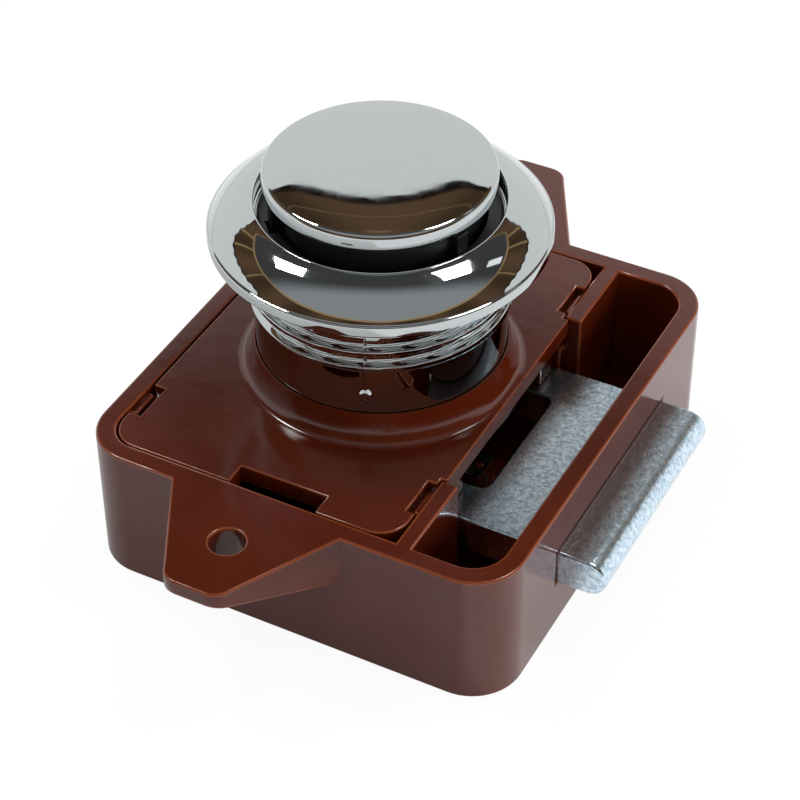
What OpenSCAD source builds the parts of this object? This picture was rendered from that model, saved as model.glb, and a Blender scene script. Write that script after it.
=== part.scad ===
// Push button cabinet lock: a spring bolt in a moulded case, worked by a push-push button.
// Millimetres. The button's axis is Z, the case's back face is z = 0, and the bolt points along +X.
// The rest pose is the locked one: button in, bolt out.

/* [Case] */
// Button axis to the rear face of the case
case_left = 19.2; // [18:0.1:21]
// Button axis to the face that the bolt comes out of
case_right = 24.4; // [23.5:0.1:26]
// Width of the case, without the ears
case_w = 48.6; // [47:0.1:52]
// Height of the case, back face to door face
case_h = 14.5; // [14.2:0.1:16]
// Radius of the upright corners
corner_r = 5; // [4:0.1:6]
// Wall thickness
wall = 1.9; // [1.6:0.1:2.1]

/* [Ears] */
// Distance over the two ears
ear_span = 71.2; // [68:0.1:76]
// Distance between the screw holes
hole_span = 58.2; // [57:0.1:61]
// Width of an ear at the case
ear_root_w = 17.4; // [14:0.1:20]
// Width of an ear at its end
ear_tip_w = 7; // [6:0.1:8]
// Diameter of the screw holes
screw_d = 3.3; // [2.8:0.1:4]

/* [Lid and collar] */
// Thickness of the lid
lid_t = 2; // [1.6:0.1:2.2]
// Diameter of the boss that centres the lock in the door's bore
boss_d = 25.8; // [25.4:0.1:26]
// Height of the boss over the lid
boss_h = 3; // [2:0.1:4]
// Diameter of the collar below its thread
collar_d = 24; // [23.8:0.1:24.2]
// Diameter over the collar's thread
thread_d = 24.8; // [24.6:0.1:25]
// Thickness of the door that the rosette is set for
door_t = 15; // [14.5:0.1:17]
// Diameter of the rosette
rosette_d = 32; // [30:0.1:36]

/* [Button] */
// How far the button springs out when it is let go
stroke = 6; // [5:0.1:6.1]
// How far the button goes in past its catch
over_press = 1.2; // [0.8:0.1:1.25]

/* [Bolt] */
// Width of the bolt
bolt_w = 24; // [23.4:0.1:24.2]
// Thickness of the bolt
bolt_t = 3.8; // [3.4:0.1:3.9]
// How far the bolt stands out of the case
nose_out = 4.8; // [4:0.1:5.5]
// How far the bolt goes back while the button springs out
bolt_throw = 4.9; // [4.5:0.1:5]

/* [Springs] */
// Curls of the button's spring
button_curls = 12; // [8:1:14]
// Curls of each bolt spring
bolt_curls = 12; // [8:1:13]

/* [Output] */
// Piece to show

/* [Hidden] */
$fn = 72;
eps = 0.01;

// clearances
fit_gap = 0.05;   // pieces fixed in each other
slide_gap = 0.2;  // pieces that slide on each other
free_gap = 0.4;   // pieces that pass each other

// levels of the case
floor_t = 1.6;
in_left = -(case_left - wall);
in_right = case_right - wall;
in_w = case_w - 2 * wall;
lid_z = case_h - lid_t;
ear_t = 1.6;
ear_root_t = 5.4;
ear_tip_r = 2;
corner_post = 2.8;
guide_post_h = 3;
rail_y = [8.2, 11.1];

// snap nibs on the walls, the notches round them, and the slots in the lid's long edges
nib_y = [14.6, 17.8];
nib_t = 0.6;
nib_z = case_h - 0.5 - nib_t;
nib_reach = 0.7;
notch_y = [nib_y[0] - 0.7, nib_y[1] + 0.5];
notch_z = nib_z - 0.1;
edge_slot_x = [-3.9, 5];
edge_slot_w = 2.3;

// partition between the works and the end pocket
part_x = 13.3;
part_t = 1.6;
part_gap = 26.6;
pocket_r = 3.4;

// bolt
bolt_z = 5.4;
bolt_top = bolt_z + bolt_t;
bolt_rear = -11.9;
bolt_tip = case_right + nose_out;
window_x = 14.8;
window_w = 14.6;
window_r = 1;
slot_y = 9.65;
slot_w = 3;
slot_x = [-10, 6];
post_x = [-8.8, -7];
bolt_mid = bolt_z + bolt_t / 2;

// wedge of the stem, which draws the bolt back as the stem rises
wedge_k = bolt_throw / stroke;
wedge_x = -4.6;
wedge_gap = 0.15 * sqrt(1 + wedge_k * wedge_k);
function wedge_face(z) = wedge_x - wedge_k * (bolt_top - z);

// collar, sleeve and rosette
flange_r = collar_d / 2 + 1.4;
flange_t = 1.2;
flange_z = lid_z - 0.1 - flange_t;
thread_h = 0.4;
collar_wall = 0.8;
collar_bore = min(collar_d, thread_d - 2 * thread_h) / 2 - collar_wall;
collar_top = case_h + door_t + 2.4;
thread_z = 22.6;
rosette_z = case_h + door_t;
rim_t = 1.2;
rim_edge_r = 0.2;
dome_h = 3.9;
dome_r = 7.1;
cap_d = 2 * (collar_bore - free_gap);
lip_r = cap_d / 2 + 2 * free_gap;
lip_t = 1;
guide_r = collar_bore - 1.35;
groove_r = collar_bore - 0.6;
groove_w = 1.8;
rib_az = [-137, -17, 103];

// stem
stem_z = floor_t + over_press + slide_gap;
neck_r = guide_r - 0.3;
rib_r = groove_r - 0.2;
rib_w = groove_w - 0.4;
stop_z = [12, 13.3];
stop_r = collar_bore - 0.3;
sleeve_z = stop_z[1] + stroke + 0.1;
toe_r = groove_r;
stem_w = window_w - 2 * free_gap;
flat_x = 7;
flat_top = stop_z[1] + 0.1;
neck_top = rosette_z + 5.6;
cap_wall = 1.35;
cap_edge_r = 0.5;
crown_h = 0.55;
socket_r = 3;
socket_h = 4;
spring_bore = 3.9;
spring_top = 26;

// track of the follower in the stem's flat, as places of the wire's tip in Y and Z at rest
wire_d = 1;
wire_x = 8.4;
pivot_z = floor_t + 1.3;
tip_z = 11;
lane_w = wire_d + 0.3;
track_d = 1.3;
swing = 1.35;
lane_out = [swing, tip_z - stroke - 0.1];
lane_top = [-swing * over_press / stroke, tip_z + over_press];
lane_side = [[3.2, 7], [3.2, 10.6]];

// follower post and leaf
foot_x = [9.4, 11.4];
foot_w = 3.6;
foot_z = pivot_z + 1.5;
leaf_t = 0.25;
leaf_w = 2.4;
leaf_top = 9.4;
pip_r = 0.45;
pip_x = 10.6;

// springs
button_wire = 0.8;
button_coil_r = 3;
bolt_wire = 0.4;
bolt_coil_r = 1.15;
rings = 8;
sides = 6;
guide_post_r = button_coil_r - button_wire / 2 - 0.3;

// colours
brown = "#4a2013";
chrome = "#c9ccd0";
zinc = "#aab0b8";
black = "#17171a";
steel = "#8f9399";

// flat rectangle with the same radius on all corners
module rounded(x, y, r) {
    translate([x[0] + r, y[0]]) square([x[1] - x[0] - 2 * r, y[1] - y[0]]);
    translate([x[0], y[0] + r]) square([x[1] - x[0], y[1] - y[0] - 2 * r]);
    for (cx = [x[0] + r, x[1] - r], cy = [y[0] + r, y[1] - r])
        translate([cx, cy]) circle(r);
}

// box between two opposite corners
module block(x, y, z) {
    translate([x[0], y[0], z[0]]) cube([x[1] - x[0], y[1] - y[0], z[1] - z[0]]);
}

// what it holds, and the same mirrored to the other side of the bolt
module both_sides() {
    children();
    mirror([0, 1, 0]) children();
}

// prism along Y from an outline in X and Z
module along_y(w) {
    rotate([90, 0, 0]) linear_extrude(w, center = true) children();
}

// straight lane with round ends between two points
module lane(a, b, w) {
    d = b - a;
    translate(a) rotate(atan2(d[1], d[0])) translate([0, -w / 2]) square([norm(d), w]);
    for (p = [a, b]) translate(p) circle(d = w);
}

// centre line of a coil, one point for each ring
function coil_line(r, wire, curls, len) =
    [for (i = [0:curls * rings])
        [r * cos(360 * i / rings), r * sin(360 * i / rings), wire / 2 + (len - wire) * i / (curls * rings)]];

// least free distance between the curls of a coil, measured on its points
function coil_gap(line, wire) =
    min([for (i = [0:len(line) - 1]) for (j = [i + 5:1:len(line) - 1]) norm(line[i] - line[j])]) - wire;

// coil spring that stands on z = 0, one unbroken tube
module coil(r, wire, curls, len) {
    line = coil_line(r, wire, curls, len);
    last = len(line) - 1;
    points = [for (i = [0:last]) for (j = [0:sides - 1])
        let (a = 360 * i / rings, b = 360 * j / sides)
        [line[i][0] + wire / 2 * cos(b) * cos(a), line[i][1] + wire / 2 * cos(b) * sin(a),
         line[i][2] + wire / 2 * sin(b)]];
    walls = [for (i = [0:last - 1]) for (j = [0:sides - 1])
        let (k = (j + 1) % sides)
        each [[i * sides + j, i * sides + k, (i + 1) * sides + k],
              [i * sides + j, (i + 1) * sides + k, (i + 1) * sides + j]]];
    ends = [[for (j = [sides - 1:-1:0]) j], [for (j = [0:sides - 1]) last * sides + j]];
    polyhedron(points, [for (f = concat(walls, ends)) [for (n = [len(f) - 1:-1:0]) f[n]]]);
    echo(least_gap = coil_gap(line, wire));
}

// point where the straight line from p runs on to the circle round c, on its outer side
function tangent(p, c, r) =
    let (d = p - c, a = atan2(d[1], d[0]) + sign(c[0]) * acos(r / norm(d)))
    c + r * [cos(a), sin(a)];

// one screw ear, thinner towards its end
module ear() {
    root_y = case_w / 2;
    tip_y = ear_span / 2;
    tip = [ear_tip_w / 2 - ear_tip_r, tip_y - ear_tip_r];
    side = tangent([ear_root_w / 2, root_y], tip, ear_tip_r - 2 * eps);
    intersection() {
        linear_extrude(case_h) {
            polygon([[-ear_root_w / 2, root_y - wall], [-ear_root_w / 2, root_y],
                     [-side[0], side[1]], [-tip[0], tip_y], [tip[0], tip_y], side,
                     [ear_root_w / 2, root_y], [ear_root_w / 2, root_y - wall]]);
            for (s = [-1, 1])
                translate([s * tip[0], tip[1]]) circle(ear_tip_r);
        }
        rotate([90, 0, 90]) linear_extrude(ear_root_w + 2, center = true)
            polygon([[root_y - wall, case_h], [tip_y, case_h], [tip_y, case_h - ear_t],
                     [root_y, case_h - ear_root_t], [root_y - wall, case_h - ear_root_t]]);
    }
}

// nib that snaps over the lid's edge, on the wall at x and towards the button
module snap_nib(x, reach) {
    both_sides() block([min(x, x + reach), max(x, x + reach)], nib_y, [nib_z, nib_z + nib_t]);
}

// brown case with its ears, bolt guides, spring posts and follower post
module lock_case() {
    color(brown) difference() {
        union() {
            difference() {
                linear_extrude(case_h)
                    rounded([-case_left, case_right], [-case_w / 2, case_w / 2], corner_r);
                translate([0, 0, floor_t]) linear_extrude(case_h) {
                    rounded([in_left, part_x], [-in_w / 2, in_w / 2], corner_r - wall);
                    translate([part_x - corner_r, -in_w / 2]) square([corner_r, in_w]);
                    rounded([part_x + part_t, in_right], [-in_w / 2, in_w / 2], pocket_r);
                    translate([part_x + part_t, -in_w / 2]) square([pocket_r, in_w]);
                    translate([part_x - 1, -part_gap / 2]) square([part_t + 2, part_gap]);
                }
            }
            both_sides() ear();
            both_sides() {
                // rail under the bolt, and the post that its spring bears on
                block([in_left, in_right], rail_y, [floor_t, bolt_z - slide_gap]);
                block(post_x, [slot_y - slot_w / 2 + free_gap, slot_y + slot_w / 2 - free_gap],
                      [floor_t, bolt_top - free_gap]);
                // wall beside the bolt, which also carries the collar's flange
                block([in_left, part_x + eps], [bolt_w / 2 + slide_gap, part_gap / 2 + 0.4],
                      [floor_t, flange_z - 0.1]);
                // corner posts under the lid
                for (x = [in_left - eps, part_x - corner_post])
                    block([x, x + corner_post + eps], [in_w / 2 - corner_post, in_w / 2 + eps],
                          [floor_t, lid_z - fit_gap]);
            }
            snap_nib(in_left, nib_reach);
            snap_nib(part_x, -nib_reach);
            translate([0, 0, floor_t - eps]) cylinder(r = guide_post_r, h = guide_post_h);
            block(foot_x, [-foot_w / 2, foot_w / 2], [floor_t - eps, foot_z]);
            translate([pip_x, 0, foot_z - eps]) cylinder(r = pip_r, h = leaf_t + 0.15);
        }
        // slot for the bolt, screw holes and the follower's pivot
        block([in_right - 1, case_right + 1], [-bolt_w / 2 - slide_gap, bolt_w / 2 + slide_gap],
              [bolt_z - slide_gap, bolt_top + slide_gap]);
        for (s = [-1, 1])
            translate([0, s * hole_span / 2, -1]) cylinder(d = screw_d, h = case_h + 2);
        translate([foot_x[0] - 1, 0, pivot_z]) rotate([0, 90, 0])
            cylinder(d = wire_d + 2 * fit_gap, h = foot_x[1] - foot_x[0] + 2);
    }
}

// snap-in lid with its boss, notches, edge slots and the ribs that hold the bolt down
module case_lid() {
    edge_y = in_w / 2 - 0.15;
    edge_x = [in_left + 0.25, part_x - 0.25];
    color(brown) difference() {
        union() {
            translate([0, 0, lid_z]) linear_extrude(lid_t) {
                rounded(edge_x, [-edge_y, edge_y], corner_r - wall - 0.2);
                translate([edge_x[1] - 3, -part_gap / 2 + 0.2]) square([3.6, part_gap - 0.4]);
            }
            // boss with a hollow fillet at its foot
            rotate_extrude() {
                translate([collar_d / 2 - 1, lid_z]) square([boss_d / 2 - collar_d / 2 + 1, lid_t + boss_h]);
                difference() {
                    translate([boss_d / 2 - eps, case_h - eps]) square(1.1);
                    translate([boss_d / 2 + 1.1, case_h + 1.1]) circle(1.1);
                }
            }
            both_sides() for (x = [[in_left + 0.6, -11.2], [11.3, part_x - 0.3]])
                block(x, [rail_y[0] + slide_gap, rail_y[1] - slide_gap], [bolt_top + slide_gap, lid_z + eps]);
        }
        translate([0, 0, lid_z - 1]) cylinder(d = collar_d + 2 * fit_gap, h = lid_t + boss_h + 2);
        both_sides() {
            block([edge_x[0] - 1, edge_x[0] + 1.2], notch_y, [notch_z, case_h + 1]);
            block([edge_x[1] - 0.9, edge_x[1] + 0.1], notch_y, [notch_z, case_h + 1]);
            block(edge_slot_x, [edge_y - edge_slot_w, edge_y + 1], [lid_z - 1, case_h + 1]);
        }
    }
}

// chrome collar with a flange under the lid; its thread is a plain cylinder here
module collar() {
    color(chrome) rotate_extrude() union() {
        translate([collar_bore, flange_z]) square([flange_r - collar_bore, flange_t]);
        translate([collar_bore, flange_z])
            square([collar_d / 2 - collar_bore, thread_z - thread_h - flange_z]);
        polygon([[collar_bore, thread_z - thread_h], [collar_d / 2, thread_z - thread_h],
                 [thread_d / 2, thread_z], [thread_d / 2, collar_top - thread_h],
                 [thread_d / 2 - thread_h, collar_top], [collar_bore, collar_top]]);
    }
}

// black liner of the collar with three grooves for the stem's ribs
module guide_sleeve() {
    top = collar_top - 0.1;
    color(black) difference() {
        translate([0, 0, sleeve_z]) cylinder(r = collar_bore - fit_gap, h = top - sleeve_z);
        translate([0, 0, sleeve_z - 1]) cylinder(r = guide_r, h = top - sleeve_z + 2);
        for (a = rib_az) rotate(a)
            block([guide_r - 1, groove_r], [-groove_w / 2, groove_w / 2], [sleeve_z - 1, top + 1]);
    }
}

// chrome ring that bulges from a thin straight rim up to a lip, which covers the collar's end; the bore
// for the thread is plain
module rosette() {
    bore_r = thread_d / 2 + 0.1;
    rim_r = rosette_d / 2;
    lip = [lip_r, rosette_z + dome_h];
    rim = [rim_r - rim_edge_r, rosette_z + rim_t];
    chord = rim - lip;
    sink = sqrt(dome_r * dome_r - chord * chord / 4);
    dome_mid = (lip + rim) / 2 + sink * [chord[1], -chord[0]] / norm(chord);
    color(chrome) rotate_extrude() difference() {
        union() {
            translate([lip_r, rosette_z]) square([rim_r - lip_r, rim_t - rim_edge_r]);
            translate([lip_r, rosette_z]) square([rim[0] - lip_r, rim_t]);
            translate([rim[0], rim[1] - rim_edge_r]) circle(rim_edge_r);
            intersection() {
                translate(dome_mid) circle(dome_r, $fn = 240);
                translate([lip_r, rosette_z]) square([rim[0] - lip_r, 2 * dome_h]);
            }
        }
        translate([0, rosette_z - 1]) square([bore_r, 1 + dome_h - lip_t]);
    }
}

// chrome button, slightly crowned, with a stub that is pressed into the stem
module button_cap() {
    r = cap_d / 2;
    crown_reach = r - cap_edge_r;
    crown_r = (crown_reach * crown_reach + crown_h * crown_h) / (2 * crown_h);
    crown_top = neck_top + cap_wall + crown_h;
    color(chrome) rotate_extrude() union() {
        translate([0, neck_top]) square([r, cap_wall - cap_edge_r]);
        intersection() {
            translate([crown_reach, neck_top + cap_wall - cap_edge_r]) circle(cap_edge_r);
            translate([0, neck_top]) square([r + 1, cap_wall]);
        }
        intersection() {
            translate([0, crown_top - crown_r]) circle(crown_r, $fn = 720);
            translate([0, neck_top]) square([crown_reach, cap_wall + crown_h]);
        }
        translate([0, neck_top - socket_h + 0.3]) square([socket_r, socket_h]);
    }
}

// black stem: ribbed neck, stop flange, wedge for the bolt, bore for the spring and the follower's track
module button_stem() {
    color(black) difference() {
        union() {
            translate([0, 0, stop_z[0]]) cylinder(r = neck_r, h = neck_top - stop_z[0]);
            for (a = rib_az) rotate(a)
                block([neck_r - 1, rib_r], [-rib_w / 2, rib_w / 2], [stop_z[1] - eps, neck_top - 0.8]);
            translate([0, 0, stop_z[0]]) cylinder(r = stop_r, h = stop_z[1] - stop_z[0]);
            intersection() {
                translate([0, 0, stem_z]) cylinder(r = toe_r, h = stop_z[0] - stem_z + eps);
                along_y(stem_w) polygon([[flat_x, stem_z], [flat_x, stop_z[0] + eps],
                    [wedge_face(stop_z[0]), stop_z[0] + eps], [wedge_face(stem_z), stem_z]]);
            }
        }
        block([flat_x, 20], [-20, 20], [0, flat_top]);
        translate([0, 0, stem_z - 1]) cylinder(r = spring_bore, h = spring_top + fit_gap - stem_z + 1);
        translate([0, 0, neck_top - socket_h]) cylinder(r = socket_r + fit_gap, h = socket_h + 1);
        translate([flat_x - track_d, 0, 0]) rotate([90, 0, 90]) linear_extrude(track_d + 1) {
            lane(lane_top, lane_out, lane_w);
            lane(lane_out, lane_side[0], lane_w);
            lane(lane_side[0], lane_side[1], lane_w);
            lane(lane_side[1], lane_top, lane_w);
        }
    }
}

// button spring, from the case's floor to the end of the stem's bore
module button_spring() {
    color(steel) translate([0, 0, floor_t + fit_gap])
        coil(button_coil_r, button_wire, button_curls, spring_top - floor_t - fit_gap);
}

// zinc-plated bolt: round nose, window with a sloped rear edge, two slots for its springs
module bolt() {
    color(zinc) difference() {
        along_y(bolt_w) {
            translate([bolt_rear, bolt_z]) square([bolt_tip - bolt_t / 2 - bolt_rear, bolt_t]);
            translate([bolt_tip - bolt_t / 2, bolt_mid]) circle(bolt_t / 2);
        }
        intersection() {
            translate([0, 0, bolt_z - 1]) linear_extrude(bolt_t + 2)
                rounded([bolt_rear - 5, window_x], [-window_w / 2, window_w / 2], window_r);
            along_y(window_w + 1) polygon([[wedge_face(bolt_z - 1) - wedge_gap, bolt_z - 1],
                [bolt_tip, bolt_z - 1], [bolt_tip, bolt_top + 1], [wedge_face(bolt_top + 1) - wedge_gap, bolt_top + 1]]);
        }
        both_sides() block(slot_x, [slot_y - slot_w / 2, slot_y + slot_w / 2], [bolt_z - 1, bolt_top + 1]);
    }
}

// bolt spring on one side, from the case's post to the end of the bolt's slot
module bolt_spring(side) {
    len = slot_x[1] - post_x[1] - 2 * fit_gap;
    color(steel) translate([post_x[1] + fit_gap, side * slot_y, bolt_mid]) rotate([0, 90, 0])
        coil(bolt_coil_r, bolt_wire, bolt_curls, len);
}

module bolt_spring_front() {
    bolt_spring(-1);
}

module bolt_spring_rear() {
    bolt_spring(1);
}

// bent wire: pivot in the case's post, upright arm, and a tip in the stem's track
module cam_follower() {
    color(steel) {
        translate([wire_x, 0, pivot_z]) rotate([0, 90, 0]) cylinder(d = wire_d, h = foot_x[1] - wire_x);
        translate([wire_x, 0, pivot_z]) sphere(d = wire_d);
        translate([wire_x, 0, pivot_z]) cylinder(d = wire_d, h = tip_z - pivot_z);
        translate([wire_x, 0, tip_z]) sphere(d = wire_d);
        translate([flat_x - track_d + 0.2, 0, tip_z]) rotate([0, 90, 0])
            cylinder(d = wire_d, h = wire_x - flat_x + track_d - 0.2);
    }
}

// leaf spring on the post, behind the follower's arm
module follower_leaf() {
    x = wire_x + wire_d / 2 + 0.1;
    color(steel) difference() {
        union() {
            block([x, foot_x[1]], [-foot_w / 2, foot_w / 2], [foot_z, foot_z + leaf_t]);
            block([x, x + leaf_t], [-leaf_w / 2, leaf_w / 2], [foot_z, leaf_top]);
        }
        translate([pip_x, 0, foot_z - leaf_t]) cylinder(r = pip_r + fit_gap, h = 3 * leaf_t);
    }
}

lock_case();
case_lid();
collar();
guide_sleeve();
rosette();
button_cap();
button_stem();
button_spring();
bolt();
bolt_spring_front();
bolt_spring_rear();
cam_follower();
follower_leaf();
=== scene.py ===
"""Push button cabinet lock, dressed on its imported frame.

Lengths are in metres, in the frame of the solids: Z is the button's axis, the case's back face is
z = 0 and the bolt points along +X. The file goes through the lock as it is put together.
"""

import bmesh
import bpy
import numpy as np
from mathutils import Matrix, Vector


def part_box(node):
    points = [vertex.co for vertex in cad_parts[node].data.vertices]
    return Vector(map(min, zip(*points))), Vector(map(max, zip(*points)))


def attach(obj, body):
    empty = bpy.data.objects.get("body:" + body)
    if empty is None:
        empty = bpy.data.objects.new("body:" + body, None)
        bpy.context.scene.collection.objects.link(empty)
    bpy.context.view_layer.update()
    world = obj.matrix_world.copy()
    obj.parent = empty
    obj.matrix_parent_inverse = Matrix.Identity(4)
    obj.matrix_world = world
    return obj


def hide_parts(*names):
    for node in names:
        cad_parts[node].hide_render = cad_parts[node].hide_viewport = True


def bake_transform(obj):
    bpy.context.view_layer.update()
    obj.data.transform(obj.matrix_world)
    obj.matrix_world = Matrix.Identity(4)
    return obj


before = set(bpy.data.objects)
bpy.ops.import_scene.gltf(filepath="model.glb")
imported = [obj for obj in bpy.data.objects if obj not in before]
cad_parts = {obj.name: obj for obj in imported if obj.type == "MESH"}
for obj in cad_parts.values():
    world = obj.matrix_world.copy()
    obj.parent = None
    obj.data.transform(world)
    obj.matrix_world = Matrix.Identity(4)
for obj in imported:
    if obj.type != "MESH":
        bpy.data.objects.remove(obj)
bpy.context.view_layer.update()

# The camera stands where the photograph was taken from: its direction, roll and distance come from
# a fit to the case's straight edges and to the round edges of the button, rosette and collar.
MM = 0.001
PICTURE = 800
FOCAL_PX = 2432.5
azimuth, elevation, roll = np.radians((27.93, 40.69, -0.33))
eye = Vector((85.86, -158.36, 163.58)) * MM
back = Vector((np.sin(azimuth) * np.cos(elevation), -np.cos(azimuth) * np.cos(elevation),
               np.sin(elevation)))
level = Vector((np.cos(azimuth), np.sin(azimuth), 0))
upright = back.cross(level)
right = level * np.cos(roll) + upright * np.sin(roll)
up = upright * np.cos(roll) - level * np.sin(roll)
lens = bpy.data.cameras.new("camera")
lens.sensor_width = 36
lens.lens = FOCAL_PX / PICTURE * lens.sensor_width
lens.clip_start = 10 * MM
camera = bpy.data.objects.new("camera", lens)
camera.matrix_world = Matrix.Translation(eye) @ Matrix((right, up, back)).transposed().to_4x4()
bpy.context.collection.objects.link(camera)
scene = bpy.context.scene
scene.camera = camera
scene.view_settings.view_transform = "Standard"


# The case is one moulding of glossy brown ABS with sharp tool edges, two screw ears, an end pocket
# and a slot for the bolt. Its polished surface mirrors what is near it, and the broken edges catch the
# light in thin lines, which a lighter tone on their rounded faces paints as a highlight. Inside it
# stand the rails, posts and walls that guide the works.
CASE_EDGE = 0.22 * MM
BROWN = "#4a1706"
BROWN_DEEP = "#3d1104"
# painted highlight: the lighter, more orange brown that the rounded edges take for the light in them
EDGE_HIGHLIGHT = "#6f3317"
EDGE_HIGHLIGHT_DEEP = "#5a260f"
ABS_IOR = 1.54
FLOW_MARK = 6.25 * MM
RIPPLE = 2.381 * MM
RIPPLE_HEIGHT = 0.2 * MM
# points closer than this are one point; those of a piece that is formed anew are thinned out more
ONE_POINT = 0.001 * MM
ONE_POINT_FORMED = 0.02 * MM
FLAT_ANGLE = np.radians(0.5)
SHARP_ANGLE = np.radians(32)


def linear(hex_colour):
    """Linear RGBA of an sRGB hex value: c / 12.92 below 0.04045, ((c + 0.055) / 1.055) ** 2.4 above."""
    c = np.array([int(hex_colour[i:i + 2], 16) for i in (1, 3, 5)]) / 255
    return (*np.where(c <= 0.04045, c / 12.92, ((c + 0.055) / 1.055) ** 2.4), 1.0)


def add(tree, kind, links=(), **settings):
    """Adds one node: settings fill properties by name where there is one, else sockets; links join
    (socket of this node, node, output of that node)."""
    n = tree.nodes.new(kind)
    for key, value in settings.items():
        name = key.replace("_", " ").lower()
        if hasattr(n, key):
            setattr(n, key, value)
        else:
            n.inputs[next(s.name for s in n.inputs if s.name.lower() == name)].default_value = value
    for socket, other, output in links:
        tree.links.new(other.outputs[output], n.inputs[socket])
    return n


def bare_material(name):
    """A material with an empty node tree, and that tree."""
    m = bpy.data.materials.new(name)
    m.use_nodes = True
    m.node_tree.nodes.clear()
    return m, m.node_tree


def new_material(name):
    """A material with its Principled shader wired to the output, its tree and that shader."""
    m, t = bare_material(name)
    shader = add(t, "ShaderNodeBsdfPrincipled")
    add(t, "ShaderNodeOutputMaterial", [("Surface", shader, "BSDF")])
    return m, t, shader


def brown_abs(name, deep, bright):
    """Injection-moulded ABS from a polished tool: an even warm brown with faint flow marks a few
    millimetres long, a clear gloss, and a ripple of some micrometres that bends the reflections.
    Light enters the thin edges from both sides. Called with lighter, more orange colours, this paints
    that light as a highlight on the rounded edges."""
    m, t, shader = new_material(name)
    place = add(t, "ShaderNodeTexCoord")
    flow = add(t, "ShaderNodeTexNoise", [("Vector", place, "Object")],
               Scale=1 / FLOW_MARK, Detail=3, Roughness=0.5)
    # a Mix node has an A and a B for each kind of data: its colours are inputs 6 and 7, output 2
    tone = add(t, "ShaderNodeMix", [("Factor", flow, "Fac")], data_type="RGBA")
    tone.inputs[6].default_value = linear(deep)
    tone.inputs[7].default_value = linear(bright)
    t.links.new(tone.outputs[2], shader.inputs["Base Color"])
    gloss = add(t, "ShaderNodeMapRange", [("Value", flow, "Fac")], To_Min=0.1, To_Max=0.2)
    t.links.new(gloss.outputs["Result"], shader.inputs["Roughness"])
    ripple = add(t, "ShaderNodeTexNoise", [("Vector", place, "Object")], Scale=1 / RIPPLE, Detail=2)
    dent = add(t, "ShaderNodeBump", [("Height", ripple, "Fac")], Strength=0.06, Distance=RIPPLE_HEIGHT)
    t.links.new(dent.outputs["Normal"], shader.inputs["Normal"])
    shader.inputs["IOR"].default_value = ABS_IOR
    return m


def placed(name, data):
    """A new object that holds data, linked to the scene."""
    thing = bpy.data.objects.new(name, data)
    bpy.context.collection.objects.link(thing)
    return thing


def softened(name, node, width, finish, edge_highlight_finish=None, segments=3, form=None):
    """A copy of a solid's mesh with its flat faces merged and its sharp outer edges rounded to width;
    the rounded edges take edge_highlight_finish where it is given, a lighter tone that paints a
    highlight along them, and the flat faces keep their own normals. Where form is given, it moves the
    copy's points first, and no edge is rounded between the points that it moved."""
    mesh = bpy.data.meshes.new(name)
    bm = bmesh.new()
    bm.from_mesh(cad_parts[node].data)
    bmesh.ops.remove_doubles(bm, verts=bm.verts, dist=ONE_POINT_FORMED if form else ONE_POINT)
    bm.to_mesh(mesh)
    bm.clear()
    points = np.empty((len(mesh.vertices), 3), np.float32)
    mesh.vertices.foreach_get("co", points.ravel())
    formed = form(points).astype(np.float32) if form else points
    mesh.vertices.foreach_set("co", formed.ravel())
    mark = mesh.attributes.new("moved", "INT", "POINT")
    mark.data.foreach_set("value", np.any(formed != points, axis=1).astype(np.int32))
    bm.from_mesh(mesh)
    moved = bm.verts.layers.int["moved"]
    bmesh.ops.dissolve_limit(bm, angle_limit=FLAT_ANGLE, verts=bm.verts, edges=bm.edges)
    weight = bm.edges.layers.float.new("bevel_weight_edge")
    for e in bm.edges:
        sharp = e.is_manifold and e.calc_face_angle() > SHARP_ANGLE
        rounded = sharp and e.is_convex and not all(v[moved] for v in e.verts)
        e[weight] = float(rounded)
        e.smooth = not sharp or rounded
    bm.to_mesh(mesh)
    bm.free()
    mesh.shade_smooth()
    mesh.materials.append(finish)
    mesh.materials.append(edge_highlight_finish or finish)
    piece = placed(name, mesh)
    edge = piece.modifiers.new("edges", "BEVEL")
    edge.width = width
    edge.segments = segments
    edge.limit_method = "WEIGHT"
    edge.use_clamp_overlap = False
    edge.material = 1
    flat = piece.modifiers.new("flats", "WEIGHTED_NORMAL")
    flat.mode = "FACE_AREA"
    flat.weight = 100
    flat.keep_sharp = True
    return piece


case_abs = brown_abs("moulded_brown_abs", BROWN_DEEP, BROWN)
# the rounded edges' finish, which paints the edge highlight
edge_highlight_abs = brown_abs("brown_abs_painted_edge_highlight", EDGE_HIGHLIGHT_DEEP, EDGE_HIGHLIGHT)
case_shell = softened("case_shell", "lock_case", CASE_EDGE, case_abs, edge_highlight_abs)
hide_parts("lock_case")
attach(case_shell, "case")


# The lid snaps into the case's mouth. It is moulded from the same brown ABS, with a boss that flares
# out of its top, four notches for the case's snap nibs and a slot in each long edge.
LID_EDGE = 0.16 * MM
LID_TOP = 14.5 * MM
LID_RIGHT = 13.65 * MM
BOSS_R = 12.9 * MM
BOSS_H = 3 * MM
BOSS_TOP_R = 12.25 * MM
FOOT_FILLET = 1.1 * MM
FOOT_ROWS = 12
FLARE_POWER = 3
# points this near to a face lie on it
TOUCH = 0.005 * MM
NEAR = 0.05 * MM


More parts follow.
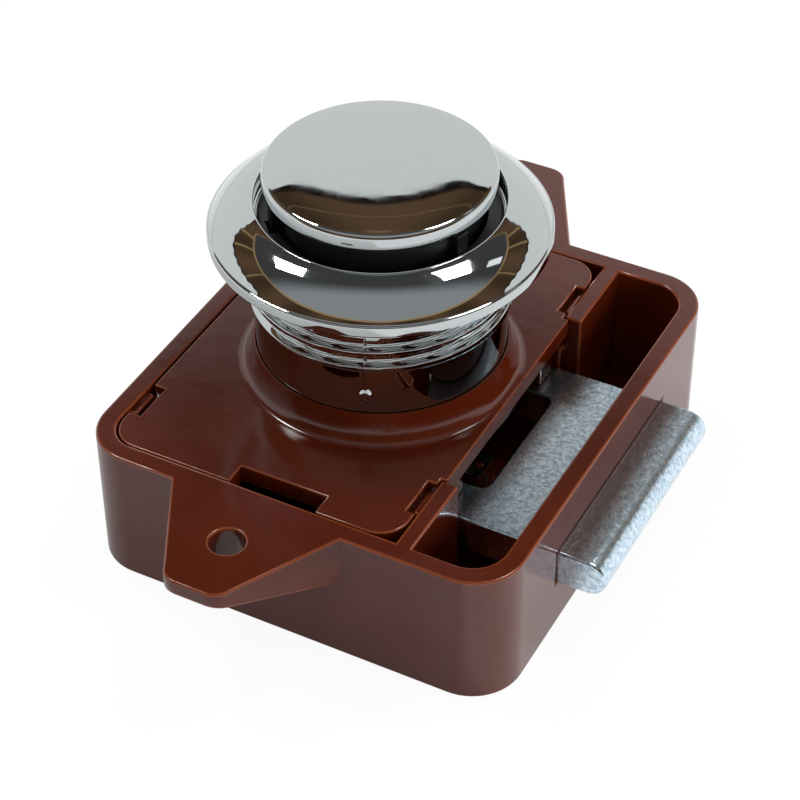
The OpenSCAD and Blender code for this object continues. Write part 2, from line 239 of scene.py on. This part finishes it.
def flared(points):
    """Turns the straight boss into one smooth flare inside it: with u from 0 at the rim to 1 at the
    foot, the radius is top + (foot - top) u and the height BOSS_H (1 - u) ** FLARE_POWER. The foot
    keeps the fillet's outer radius, or lies just inside the lid's right edge where that is nearer."""
    x, y, z = points.T
    r, a = np.hypot(x, y), np.arctan2(y, x)
    on_edge = (np.abs(x - LID_RIGHT) < 2 * TOUCH) & (z < LID_TOP + TOUCH)
    raised = (z > LID_TOP - 4 * TOUCH) & ~on_edge
    boss = raised & (r > BOSS_R - NEAR) & (r < BOSS_R + FOOT_FILLET)
    turn = np.arcsin(np.clip((LID_TOP + FOOT_FILLET - z) / FOOT_FILLET, 0, 1)) / (np.pi / 2)
    u = np.where(z > LID_TOP + BOSS_H - NEAR, 0, (1 + (FOOT_ROWS - 1) * turn) / FOOT_ROWS)
    # distance to the right edge along the angle a; the cosine's floor puts it out of reach elsewhere
    edge = (LID_RIGHT - NEAR) / np.maximum(np.cos(a), 0.1)
    foot = np.minimum(BOSS_R + FOOT_FILLET, edge)
    flare_r = BOSS_TOP_R + (foot - BOSS_TOP_R) * u
    flare_z = LID_TOP + BOSS_H * (1 - u) ** FLARE_POWER
    flare = np.stack([flare_r * np.cos(a), flare_r * np.sin(a), flare_z], -1)
    return np.where(boss[:, None], flare, points)


# the lid's rounded edges take the painted edge highlight too
lid_plate = softened("lid_plate", "case_lid", LID_EDGE, case_abs, edge_highlight_abs, form=flared)
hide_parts("case_lid")
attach(lid_plate, "case")


# The collar is a chrome-plated moulding: a flange under the lid, a smooth barrel through the boss and
# a coarse round thread above it. The tool's parting line runs down its front, with the gate's scar.
PITCH = 1.78 * MM
RIDGE = 0.36
FLANK = 0.1
THREAD_Z = 22.58 * MM
LAND = 0.35 * MM
RUN_OUT = 0.12 * MM
FRONT = np.radians(-62.1)
FLANGE_T = 1.2 * MM
BORE_R = 11.2 * MM
BARREL_R = 12.0 * MM
CREST_R = 12.4 * MM
ROOT_R = 11.78 * MM
COLUMNS = 440
BARREL_STEP = 0.2 * MM
THREAD_STEP = 0.075 * MM
PARTING = np.radians(-69)
PARTING_H = 0.12 * MM
PARTING_W = 0.09 * MM
PARTING_Z = 17.6 * MM
OVER_CREST = 0.05 * MM
SCAR_Z = 19.4 * MM
SCAR_R = 0.62 * MM
SCAR_H = 0.2 * MM
SCAR_BLUR = 0.06 * MM
DISH_R = 0.3 * MM
DISH_H = 0.12 * MM
CHROME = "#babfc0"
WEAR = 1.6667 * MM
PEEL = 2.857 * MM
PEEL_HEIGHT = 0.2 * MM


def ring_mesh(name, r, z, turn):
    """A closed surface of revolution: row u of r and z (each u by v, or u alone) goes round the Z
    axis through the angles turn, and both the profile and the round are closed on themselves;
    points that fall together on the axis are merged into one."""
    columns = len(turn)
    r, z = (np.broadcast_to(a if a.ndim == 2 else a[:, None], (len(a), columns)) for a in (r, z))
    points = np.stack([r * np.cos(turn), r * np.sin(turn), z], -1).reshape(-1, 3)
    u, v = np.meshgrid(np.arange(len(r)), np.arange(columns), indexing="ij")
    row, next_row = u * columns, (u + 1) % len(r) * columns
    next_v = (v + 1) % columns
    quads = np.stack([row + v, row + next_v, next_row + next_v, next_row + v], -1).reshape(-1, 4)
    mesh = bpy.data.meshes.new(name)
    mesh.from_pydata(points, [], quads)
    bm = bmesh.new()
    bm.from_mesh(mesh)
    bmesh.ops.remove_doubles(bm, verts=bm.verts, dist=ONE_POINT / 10)
    bm.to_mesh(mesh)
    bm.free()
    mesh.shade_smooth()
    return placed(name, mesh)


def arc(centre, radius, start, end, steps):
    """Points of a circular arc in (r, z): centre + radius * (cos a, sin a), a from start to end degrees."""
    a = np.radians(np.linspace(start, end, steps))
    return np.stack([centre[0] + radius * np.cos(a), centre[1] + radius * np.sin(a)], -1)


def chrome_plate():
    """Bright chrome over a polished moulding: a neutral mirror with a faint orange-peel ripple of
    2 or 3 mm, and hairline wear that only dulls it slightly. The hairlines are too fine to show, so
    the wear is drawn as soft patches of 1 to 2 mm."""
    m, t, shader = new_material("bright_chrome_plate")
    place = add(t, "ShaderNodeTexCoord")
    wear = add(t, "ShaderNodeTexNoise", [("Vector", place, "Object")],
               Scale=1 / WEAR, Detail=4, Roughness=0.6)
    dull = add(t, "ShaderNodeMapRange", [("Value", wear, "Fac")],
               From_Min=0.35, From_Max=0.75, To_Min=0.025, To_Max=0.07)
    t.links.new(dull.outputs["Result"], shader.inputs["Roughness"])
    peel = add(t, "ShaderNodeTexNoise", [("Vector", place, "Object")], Scale=1 / PEEL, Detail=1)
    dent = add(t, "ShaderNodeBump", [("Height", peel, "Fac")], Strength=0.03, Distance=PEEL_HEIGHT)
    t.links.new(dent.outputs["Normal"], shader.inputs["Normal"])
    shader.inputs["Base Color"].default_value = linear(CHROME)
    shader.inputs["Metallic"].default_value = 1.0
    return m


low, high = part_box("collar")
flange_z = low.z + FLANGE_T
barrel_z = np.concatenate([
    np.arange(flange_z, THREAD_Z - BARREL_STEP, BARREL_STEP),
    np.arange(THREAD_Z - 0.1 * MM, high.z - 0.3 * MM, THREAD_STEP),
])
# the columns stand closer together over the parting line and the scar
close = PARTING + np.linspace(-0.9, 0.9, 41) * MM / BARREL_R
wide = close[-1] + np.linspace(0, 1, COLUMNS + 1)[1:-1] * (2 * np.pi - close[-1] + close[0])
turn = np.concatenate([close, wide])
# right-hand thread: the height of a ridge grows by one pitch for each turn. Its section is a flat
# crest, RIDGE pitches wide, with steep flanks of FLANK pitches; a level land closes its lower end
ridge_z = THREAD_Z + RIDGE / 2 * PITCH
phase = (barrel_z[:, None] - ridge_z) / PITCH - ((turn - FRONT) / (2 * np.pi))[None]
off = np.abs((phase + 0.5) % 1 - 0.5)
flank = np.clip((RIDGE / 2 - off) / FLANK + 0.5, 0, 1)
ridge = flank * flank * (3 - 2 * flank)
above = barrel_z[:, None] - THREAD_Z
ridge = np.where(above < LAND, 1.0, ridge) * np.clip(above / RUN_OUT + 0.5, 0, 1)
floor_r = np.where(above < 0, BARREL_R, ROOT_R)
barrel_r = floor_r + (CREST_R - floor_r) * ridge
# parting line: a rounded ridge over the boss's rim, lower on the crests, which the rosette clears
along = ((turn - PARTING + np.pi) % (2 * np.pi) - np.pi) * BARREL_R
parting = PARTING_H * np.exp(-(along / PARTING_W) ** 2)[None] * (barrel_z > PARTING_Z)[:, None]
barrel_r = np.minimum(barrel_r + parting, CREST_R + OVER_CREST)
# gate scar: a low round stub with a dished middle
scar = np.hypot(barrel_z[:, None] - SCAR_Z, along[None])
stub = SCAR_H / (1 + np.exp((scar - SCAR_R) / SCAR_BLUR))
barrel_r = barrel_r + stub - DISH_H * np.exp(-(scar / DISH_R) ** 2)
inside = np.array([(high.x - 0.1 * MM, flange_z), (BARREL_R, flange_z)])
rim = np.array([(CREST_R - 0.4 * MM, high.z), (BORE_R, high.z), (BORE_R, low.z), (high.x, low.z),
                (high.x, low.z + 0.6 * FLANGE_T)])
collar_r = np.concatenate([np.repeat(inside[:, :1], len(turn), 1), barrel_r,
                           np.repeat(rim[:, :1], len(turn), 1)])
collar_z = np.concatenate([inside[:, 1], barrel_z, rim[:, 1]])
threaded_collar = ring_mesh("threaded_collar", collar_r, collar_z, turn)
chrome = chrome_plate()
threaded_collar.data.materials.append(chrome)
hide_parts("collar")
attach(threaded_collar, "case")


# A black acetal sleeve lines the collar: three grooves guide the ribs of the button's neck, and its
# lower end stops the stroke. Acetal is moulded with a soft, slightly waxy sheen.
SLEEVE_EDGE = 0.1 * MM
BLACK = "#141416"
TOOL_GRAIN = 0.4 * MM
TOOL_GRAIN_HEIGHT = 0.1 * MM


def black_acetal():
    """Moulded acetal: near black, with a satin gloss broken up by the tool's fine texture. That is
    about 0.1 mm on the real one, and drawn at 0.4 mm so that it shows."""
    m, t, shader = new_material("moulded_black_acetal")
    place = add(t, "ShaderNodeTexCoord")
    grain = add(t, "ShaderNodeTexNoise", [("Vector", place, "Object")], Scale=1 / TOOL_GRAIN, Detail=2)
    gloss = add(t, "ShaderNodeMapRange", [("Value", grain, "Fac")], To_Min=0.22, To_Max=0.42)
    t.links.new(gloss.outputs["Result"], shader.inputs["Roughness"])
    dent = add(t, "ShaderNodeBump", [("Height", grain, "Fac")], Strength=0.08, Distance=TOOL_GRAIN_HEIGHT)
    t.links.new(dent.outputs["Normal"], shader.inputs["Normal"])
    shader.inputs["Base Color"].default_value = linear(BLACK)
    return m


acetal = black_acetal()
liner = softened("liner", "guide_sleeve", SLEEVE_EDGE, acetal, segments=2)
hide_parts("guide_sleeve")
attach(liner, "case")


# The rosette screws down on the collar from outside and clamps the door. It is a chrome-plated ring
# that bulges from a thin straight rim up to a lip, which covers the collar's end.
ROUND_STEPS = 256
ROUND = np.arange(ROUND_STEPS) * 2 * np.pi / ROUND_STEPS
RIM_T = 1.2 * MM
RIM_EDGE_R = 0.2 * MM
DOME_R = 7.1 * MM
LIP_R = 11.6 * MM
LIP_T = 1.0 * MM
LIP_EDGE_R = 0.1 * MM
LIP_DROP = 0.02 * MM
NUT_R = 12.5 * MM
low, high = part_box("rosette")
# the bulge is an arc of radius DOME_R through the lip's edge and the rim's edge
lip = np.array((LIP_R, high.z))
rim = np.array((high.x - RIM_EDGE_R, low.z + RIM_T))
chord = rim - lip
sink = np.sqrt(DOME_R ** 2 - chord @ chord / 4)
dome_mid = (lip + rim) / 2 + sink * np.array((chord[1], -chord[0])) / np.linalg.norm(chord)
rim_angle, lip_angle = (np.degrees(np.arctan2(*(end - dome_mid)[::-1])) for end in (rim, lip))
rosette_line = np.concatenate([
    np.array([(NUT_R, high.z - LIP_T), (NUT_R, low.z)]),
    arc((rim[0], low.z + RIM_EDGE_R), RIM_EDGE_R, -90, 0, 6),
    arc((rim[0], rim[1] - RIM_EDGE_R), RIM_EDGE_R, 0, 80, 8),
    # the bulge ends 0.8 degrees short of the lip, where the lip's own rounding starts
    arc(dome_mid, DOME_R, rim_angle, lip_angle - 0.8, 48),
    arc((LIP_R + LIP_EDGE_R, high.z - LIP_EDGE_R - LIP_DROP), LIP_EDGE_R, 80, 180, 6),
    np.array([(LIP_R, high.z - LIP_T)]),
])
clamp_ring = ring_mesh("clamp_ring", rosette_line[:, 0], rosette_line[:, 1], ROUND)
clamp_ring.data.materials.append(chrome)
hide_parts("rosette")
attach(clamp_ring, "rosette")


# The button is a chrome-plated disc with a rounded edge, pressed into the stem by a stub. Its top is
# nearly flat in the middle and rolls over towards the edge, as thin pressed caps do.
CAP_WALL = 1.55 * MM
CAP_EDGE_R = 0.5 * MM
CAP_UNDER_R = 0.15 * MM
CROWN = 0.35 * MM
CROWN_POWER = 6
STUB_R = 3 * MM
STUB_STEP = 0.3 * MM
low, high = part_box("button_cap")
cap_r = high.x
cap_under = high.z - CROWN - CAP_WALL
crown_end = cap_r - CAP_EDGE_R
# the crown falls by CROWN (r / crown_end) ** CROWN_POWER from the middle to where the edge begins
crown_r = np.linspace(crown_end, 0, 40)
crown_z = high.z - CROWN * (crown_r / crown_end) ** CROWN_POWER
cap_line = np.concatenate([
    np.array([(0, low.z), (STUB_R, low.z), (STUB_R, cap_under), (STUB_R + STUB_STEP, cap_under)]),
    arc((cap_r - CAP_UNDER_R, cap_under + CAP_UNDER_R), CAP_UNDER_R, -90, 0, 6),
    arc((crown_end, high.z - CROWN - CAP_EDGE_R), CAP_EDGE_R, 0, 84, 16),
    np.stack([crown_r, crown_z], -1)[1:],
])
button_disc = ring_mesh("button_disc", cap_line[:, 0], cap_line[:, 1], ROUND)
button_disc.data.materials.append(chrome)
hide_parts("button_cap")
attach(button_disc, "button")


# The stem under the button is moulded in the same black acetal: ribbed neck, stop flange, the wedge
# that draws the bolt back, the bore for its spring and the track for the catch wire.
STEM_EDGE = 0.12 * MM
stem_body = softened("stem_body", "button_stem", STEM_EDGE, acetal, segments=2)
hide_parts("button_stem")
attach(stem_body, "button")


# Three springs wound from drawn steel wire: one under the button, and one in each slot of the bolt.
# Each stretches between the case and the piece that it pushes.
WIRE_SIDES = 10
CURL_STEPS = 28
# radius to the wire's middle, wire thickness, curls
BUTTON_COIL = (3.0 * MM, 0.8 * MM, 12)
BOLT_COIL = (1.15 * MM, 0.4 * MM, 12)
STEEL = "#8b8f94"
DIE_MARK = 0.3333 * MM


def spring_steel():
    """Drawn spring wire: grey steel with fine die marks and a slight sheen of oil. The marks are a
    few hundredths of a millimetre wide, and drawn at 0.3 mm so that they show."""
    m, t, shader = new_material("drawn_spring_steel")
    place = add(t, "ShaderNodeTexCoord")
    marks = add(t, "ShaderNodeTexNoise", [("Vector", place, "Object")], Scale=1 / DIE_MARK, Detail=3)
    gloss = add(t, "ShaderNodeMapRange", [("Value", marks, "Fac")], To_Min=0.18, To_Max=0.4)
    t.links.new(gloss.outputs["Result"], shader.inputs["Roughness"])
    shader.inputs["Base Color"].default_value = linear(STEEL)
    shader.inputs["Metallic"].default_value = 1.0
    return m


def coil_mesh(name, radius, wire, curls, start, end):
    """A wire of round section wound on a cylinder: the line is (radius cos a, radius sin a, h) with
    a = 2 pi curls s and h from wire / 2 to the length less wire / 2; its section lies in the plane of
    the radius and the axis. The axis runs from start to end, along X or Z."""
    start, end = np.array(start), np.array(end)
    axis = (end - start) / np.linalg.norm(end - start)
    side = np.array((0, 1, 0)) if abs(axis[2]) < 0.5 else np.array((1, 0, 0))
    third = np.cross(axis, side)
    s = np.linspace(0, 1, curls * CURL_STEPS + 1)
    a = 2 * np.pi * curls * s
    h = wire / 2 + s * (np.linalg.norm(end - start) - wire)
    out = np.cos(a)[:, None] * side + np.sin(a)[:, None] * third
    b = np.arange(WIRE_SIDES) * 2 * np.pi / WIRE_SIDES
    ring = np.cos(b)[None, :, None] * out[:, None] + np.sin(b)[None, :, None] * axis
    points = (start + radius * out + h[:, None] * axis)[:, None] + wire / 2 * ring
    u, v = np.meshgrid(np.arange(len(s) - 1), np.arange(WIRE_SIDES), indexing="ij")
    row, next_row = u * WIRE_SIDES, (u + 1) * WIRE_SIDES
    next_v = (v + 1) % WIRE_SIDES
    quads = np.stack([row + v, next_row + v, next_row + next_v, row + next_v], -1).reshape(-1, 4)
    last = (len(s) - 1) * WIRE_SIDES
    ends = [list(range(WIRE_SIDES)), list(range(last + WIRE_SIDES - 1, last - 1, -1))]
    mesh = bpy.data.meshes.new(name)
    mesh.from_pydata(points.reshape(-1, 3), [], quads.tolist() + ends)
    bm = bmesh.new()
    bm.from_mesh(mesh)
    bmesh.ops.recalc_face_normals(bm, faces=bm.faces)
    bm.to_mesh(mesh)
    bm.free()
    mesh.shade_smooth()
    return placed(name, mesh)


spring_wire = spring_steel()
low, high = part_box("button_spring")
push_coil = coil_mesh("push_coil", *BUTTON_COIL, (0, 0, low.z), (0, 0, high.z))
push_coil.data.materials.append(spring_wire)
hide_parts("button_spring")
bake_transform(push_coil)
for side in ("front", "rear"):
    low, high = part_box(f"bolt_spring_{side}")
    centre = (low + high) / 2
    seat, tip = (low.x, centre.y, centre.z), (high.x, centre.y, centre.z)
    bolt_coil = coil_mesh(f"bolt_coil_{side}", *BOLT_COIL, seat, tip)
    bolt_coil.data.materials.append(spring_wire)
    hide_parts(f"bolt_spring_{side}")
    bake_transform(bolt_coil)


# The catch wire is bent from the same steel; its pivot end turns in the case's post. The leaf behind
# it is stamped from spring strip and riveted over a moulded pip.
for node in ("cam_follower", "follower_leaf"):
    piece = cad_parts[node]
    piece.data.materials.clear()
    piece.data.materials.append(spring_wire)


# The bolt is pressed from thick steel strip and zinc plated. The plate is a pale blue-grey with a
# cloudy crystal grain. Its rounded nose and edges are rubbed brighter on the real bolt, which this
# plate does not draw.
BOLT_EDGE = 0.3 * MM
ZINC = "#deeffa"
ZINC_DARK = "#a6bfd0"
CLOUD = 0.4545 * MM
CRYSTAL = 0.1 * MM
CRYSTAL_HEIGHT = 0.03 * MM


def zinc_plate():
    """Bright zinc plate on pressed steel: metal with a cloudy tone of about half a millimetre, and a
    crystal grain in its roughness and height. The crystals are some hundredths of a millimetre
    across, and drawn at 0.1 mm so that they show."""
    m, t, shader = new_material("zinc_plated_steel")
    place = add(t, "ShaderNodeTexCoord")
    cloud = add(t, "ShaderNodeTexNoise", [("Vector", place, "Object")],
                Scale=1 / CLOUD, Detail=4, Roughness=0.7)
    clear = add(t, "ShaderNodeMapRange", [("Value", cloud, "Fac")], From_Min=0.35, From_Max=0.6)
    tone = add(t, "ShaderNodeMix", [("Factor", clear, "Result")], data_type="RGBA")
    tone.inputs[6].default_value = linear(ZINC_DARK)
    tone.inputs[7].default_value = linear(ZINC)
    t.links.new(tone.outputs[2], shader.inputs["Base Color"])
    grain = add(t, "ShaderNodeTexVoronoi", [("Vector", place, "Object")], Scale=1 / CRYSTAL)
    gloss = add(t, "ShaderNodeMapRange", [("Value", grain, "Distance")], To_Min=0.13, To_Max=0.24)
    t.links.new(gloss.outputs["Result"], shader.inputs["Roughness"])
    dent = add(t, "ShaderNodeBump", [("Height", grain, "Distance")], Strength=0.3, Distance=CRYSTAL_HEIGHT)
    t.links.new(dent.outputs["Normal"], shader.inputs["Normal"])
    shader.inputs["Metallic"].default_value = 1.0
    return m


spring_bolt = softened("spring_bolt", "bolt", BOLT_EDGE, zinc_plate())
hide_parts("bolt")
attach(spring_bolt, "bolt")


# The studio: a white world over a sheet of white paper, which chrome and gloss show too, soft boxes
# behind the lock, a fill box at its right, and a dim room that only reflections see.
WHITE = 1.0
SOFT_LIGHT = 0.72
world = bpy.data.worlds.new("studio")
scene.world = world
world.use_nodes = True
sky = world.node_tree
sky.nodes.clear()
# white for the rays that see the world, and softer for those that light the lock
rays = add(sky, "ShaderNodeLightPath")
direct = add(sky, "ShaderNodeMath", [(0, rays, "Is Camera Ray"), (1, rays, "Is Glossy Ray")],
             operation="MAXIMUM")
seen = add(sky, "ShaderNodeMath", [(0, direct, "Value"), (1, rays, "Is Transmission Ray")],
           operation="MAXIMUM")
strength = add(sky, "ShaderNodeMapRange", [("Value", seen, "Value")], To_Min=SOFT_LIGHT, To_Max=WHITE)
glow = add(sky, "ShaderNodeBackground", [("Strength", strength, "Result")], Color=(1, 1, 1, 1))
add(sky, "ShaderNodeOutputWorld", [("Surface", glow, "Background")])

# The floor is a wide sheet of matt white paper, a hair under the case. Most of what the camera sees
# of it is plain white and the rest takes the lock's shadow. What gloss mirrors of it is dimmer round
# the lock's foot, where the lock shades it, but white at its right and further off.
FLOOR = "#f2f2f2"
FLOOR_REACH = 3.0
FLOOR_Z = -0.02 * MM
SEEN_SHARE = 0.93
MIRRORED_SHARE = 0.6
MIRRORED_NEAR = 0.4
RIGHT_FROM, RIGHT_TO = 20 * MM, 24 * MM
FAR_FROM, FAR_TO = 50 * MM, 90 * MM
floor_mesh = bpy.data.meshes.new("floor")
corners = ((-1, -1), (1, -1), (1, 1), (-1, 1))
floor_mesh.from_pydata([(x * FLOOR_REACH, y * FLOOR_REACH, FLOOR_Z) for x, y in corners], [], [(0, 1, 2, 3)])
floor = placed("floor", floor_mesh)
paper, t = bare_material("white_paper")
matt = add(t, "ShaderNodeBsdfDiffuse", Color=linear(FLOOR))
rays = add(t, "ShaderNodeLightPath")
place = add(t, "ShaderNodeTexCoord")
spot = add(t, "ShaderNodeSeparateXYZ", [("Vector", place, "Object")])
away = add(t, "ShaderNodeVectorMath", [(0, place, "Object")], operation="LENGTH")
at_right = add(t, "ShaderNodeMapRange", [("Value", spot, "X")],
               From_Min=RIGHT_FROM, From_Max=RIGHT_TO, To_Min=MIRRORED_NEAR, To_Max=WHITE)
far_off = add(t, "ShaderNodeMapRange", [("Value", away, "Value")],
              From_Min=FAR_FROM, From_Max=FAR_TO, To_Min=MIRRORED_NEAR, To_Max=WHITE)
mirrored = add(t, "ShaderNodeMath", [(0, at_right, "Result"), (1, far_off, "Result")],
               operation="MAXIMUM")
strength = add(t, "ShaderNodeMapRange", [("Value", rays, "Is Camera Ray"), ("To Min", mirrored, "Value")],
               To_Max=WHITE)
lit = add(t, "ShaderNodeEmission", [("Strength", strength, "Result")])
bounced = add(t, "ShaderNodeMath", [(0, rays, "Is Glossy Ray"), (1, rays, "Is Transmission Ray")],
              operation="MAXIMUM")
mirrored_share = add(t, "ShaderNodeMapRange", [("Value", bounced, "Value")], To_Max=MIRRORED_SHARE)
share = add(t, "ShaderNodeMapRange",
            [("Value", rays, "Is Camera Ray"), ("To Min", mirrored_share, "Result")], To_Max=SEEN_SHARE)
sheet = add(t, "ShaderNodeMixShader", [("Fac", share, "Result"), (1, matt, "BSDF"), (2, lit, "Emission")])
add(t, "ShaderNodeOutputMaterial", [("Surface", sheet, "Shader")])
floor_mesh.materials.append(paper)

# The soft boxes are area lamps that point at the lock's middle. The two large ones give the two
# glints on the rosette, the small one a third; the fill box lights the lock's right side, and
# reflections don't show it.
forward = Vector((-np.sin(azimuth), np.cos(azimuth), 0))
middle = Vector((0, 0, 20 * MM))
# name, distance behind the lock as the camera sees it, to its right and above it, size, watts
for name, behind, aside, height, size, watts in (
    ("left_box", 0.155, -0.27, 0.51, (0.12, 0.12), 1.2),
    ("right_box", 0.133, 0.21, 0.54, (0.17, 0.11), 1.2),
    ("side_box", 0.148, 0.366, 0.438, (0.06, 0.08), 0.02),
    ("fill_box", -0.234, 0.442, 0.12, (0.25, 0.25), 1.9),
):
    soft_box = bpy.data.lights.new(name, "AREA")
    soft_box.shape = "RECTANGLE"
    soft_box.size, soft_box.size_y = size
    soft_box.energy = watts
    lamp = placed(name, soft_box)
    lamp.visible_glossy = name != "fill_box"
    stand = middle + forward * behind + level * aside + Vector((0, 0, height))
    aim = (middle - stand).to_track_quat("-Z", "Y").to_matrix().to_4x4()
    lamp.matrix_world = Matrix.Translation(stand) @ aim

# The room round the lock is a dome of 0.9 m that only reflections see. Over the white backdrop stand
# brown walls with a dark foot, a few bright posts and a tan cornice, and over them a ceiling that is
# grey on the camera's side and dark behind. Azimuth 0 is the camera's side, and 90 its right.
ROOM_R = 0.9
DARK, GREY, WOOD, TAN, FOOT = (
    np.array(linear(tone)[:3]) for tone in ("#4c4c4c", "#a8aaad", "#6b523d", "#b99a6c", "#1d1713"))
CEILING_ROWS = 24
# azimuth and width in degrees of the posts on either side
POSTS = ((136, 0.9), (123, 0.8), (97, 0.6))
# rows up the wall, from its foot at 0 to its top at 1: the dark foot ends between the second and the
# third, a light string runs along the middle one of 0.34 to 0.37, and the cornice starts at 0.95
WALL_ROWS = np.array([0, 0.06, 0.1, 0.3, 0.34, 0.355, 0.37, 0.41, 0.6, 0.8, 0.94, 0.95, 1])[None]
STRING_ROW = 0.355


def ease(x):
    """0 below 0, 1 above 1, and 3 x^2 - 2 x^3 between."""
    x = np.clip(x, 0, 1)
    return x * x * (3 - 2 * x)


az = np.linspace(-180, 180, 721)[:, None]
off_front = np.abs(az)
# elevations in degrees: the foot climbs from 2 in front to 24 at the sides and 37.8 behind, with an
# uneven edge and a hump on either side of the back; the cornice climbs from 42 to 58
foot_el = 2 + 22 * ease((off_front - 62) / 25) + 13.8 * ease((off_front - 118) / 32)
foot_el = foot_el + 0.12 * np.sin(az * 0.35) + 0.5 * np.sin(az * 0.9 + 1) * ease((150 - off_front) / 15)
foot_el = foot_el + 2.2 * np.exp(-((off_front - 163) / 9) ** 2)
cornice_el = 42 + 16 * ease((off_front - 140) / 25)
wall_el = foot_el + (cornice_el - foot_el) * WALL_ROWS
ceiling_el = cornice_el + (90 - cornice_el) * np.linspace(0.002, 1, CEILING_ROWS)[None]
# tones: panels 36 degrees wide, then the bright posts, string and cornice, then the dark foot
panel = 0.75 + 0.25 * np.cos(np.radians(10 * az))
posts = sum(np.exp(-((off_front - at) / width) ** 2) for at, width in POSTS)
string = (np.abs(WALL_ROWS - STRING_ROW) < 0.001) * 0.5 * ease((off_front - 150) / 10)
wall_tone = WOOD * panel[..., None] * np.ones_like(WALL_ROWS)[..., None]
bright = np.clip(posts + string + (WALL_ROWS > 0.945), 0, 1)[..., None]
wall_tone = wall_tone + (TAN - wall_tone) * bright
wall_tone = wall_tone + (FOOT - wall_tone) * (WALL_ROWS < 0.08)[..., None]
# the ceiling turns from dark to grey by how far it lies on the camera's side
camera_side = np.cos(np.radians(ceiling_el)) * np.cos(np.radians(az))
ceiling_tone = DARK + (GREY - DARK) * ease((camera_side + 0.1) / 0.35)[..., None]
tones = np.concatenate([wall_tone, ceiling_tone], 1)
el = np.radians(np.concatenate([wall_el, ceiling_el], 1))[..., None]
a = np.radians(az)[..., None]
outward = np.sin(a) * np.array(level) - np.cos(a) * np.array(forward)
ways = np.cos(el) * outward + np.sin(el) * np.array((0, 0, 1))
columns, rows = ways.shape[:2]
i, j = np.meshgrid(np.arange(columns - 1), np.arange(rows - 1), indexing="ij")
corner = i * rows + j
quads = np.stack([corner, corner + 1, corner + rows + 1, corner + rows], -1).reshape(-1, 4)
room_mesh = bpy.data.meshes.new("room")
room_mesh.from_pydata((np.array(middle) + ROOM_R * ways).reshape(-1, 3), [], quads)
tone_layer = room_mesh.color_attributes.new("tone", "FLOAT_COLOR", "POINT")
tone_layer.data.foreach_set("color", np.concatenate([tones, np.ones_like(tones[..., :1])], -1).ravel())
dim_room, t = bare_material("dim_room")
tone = add(t, "ShaderNodeAttribute", attribute_name="tone")
glow = add(t, "ShaderNodeEmission", [("Color", tone, "Color")])
add(t, "ShaderNodeOutputMaterial", [("Surface", glow, "Emission")])
room_mesh.materials.append(dim_room)
room = placed("room", room_mesh)
room.visible_camera = room.visible_diffuse = room.visible_shadow = room.visible_transmission = False
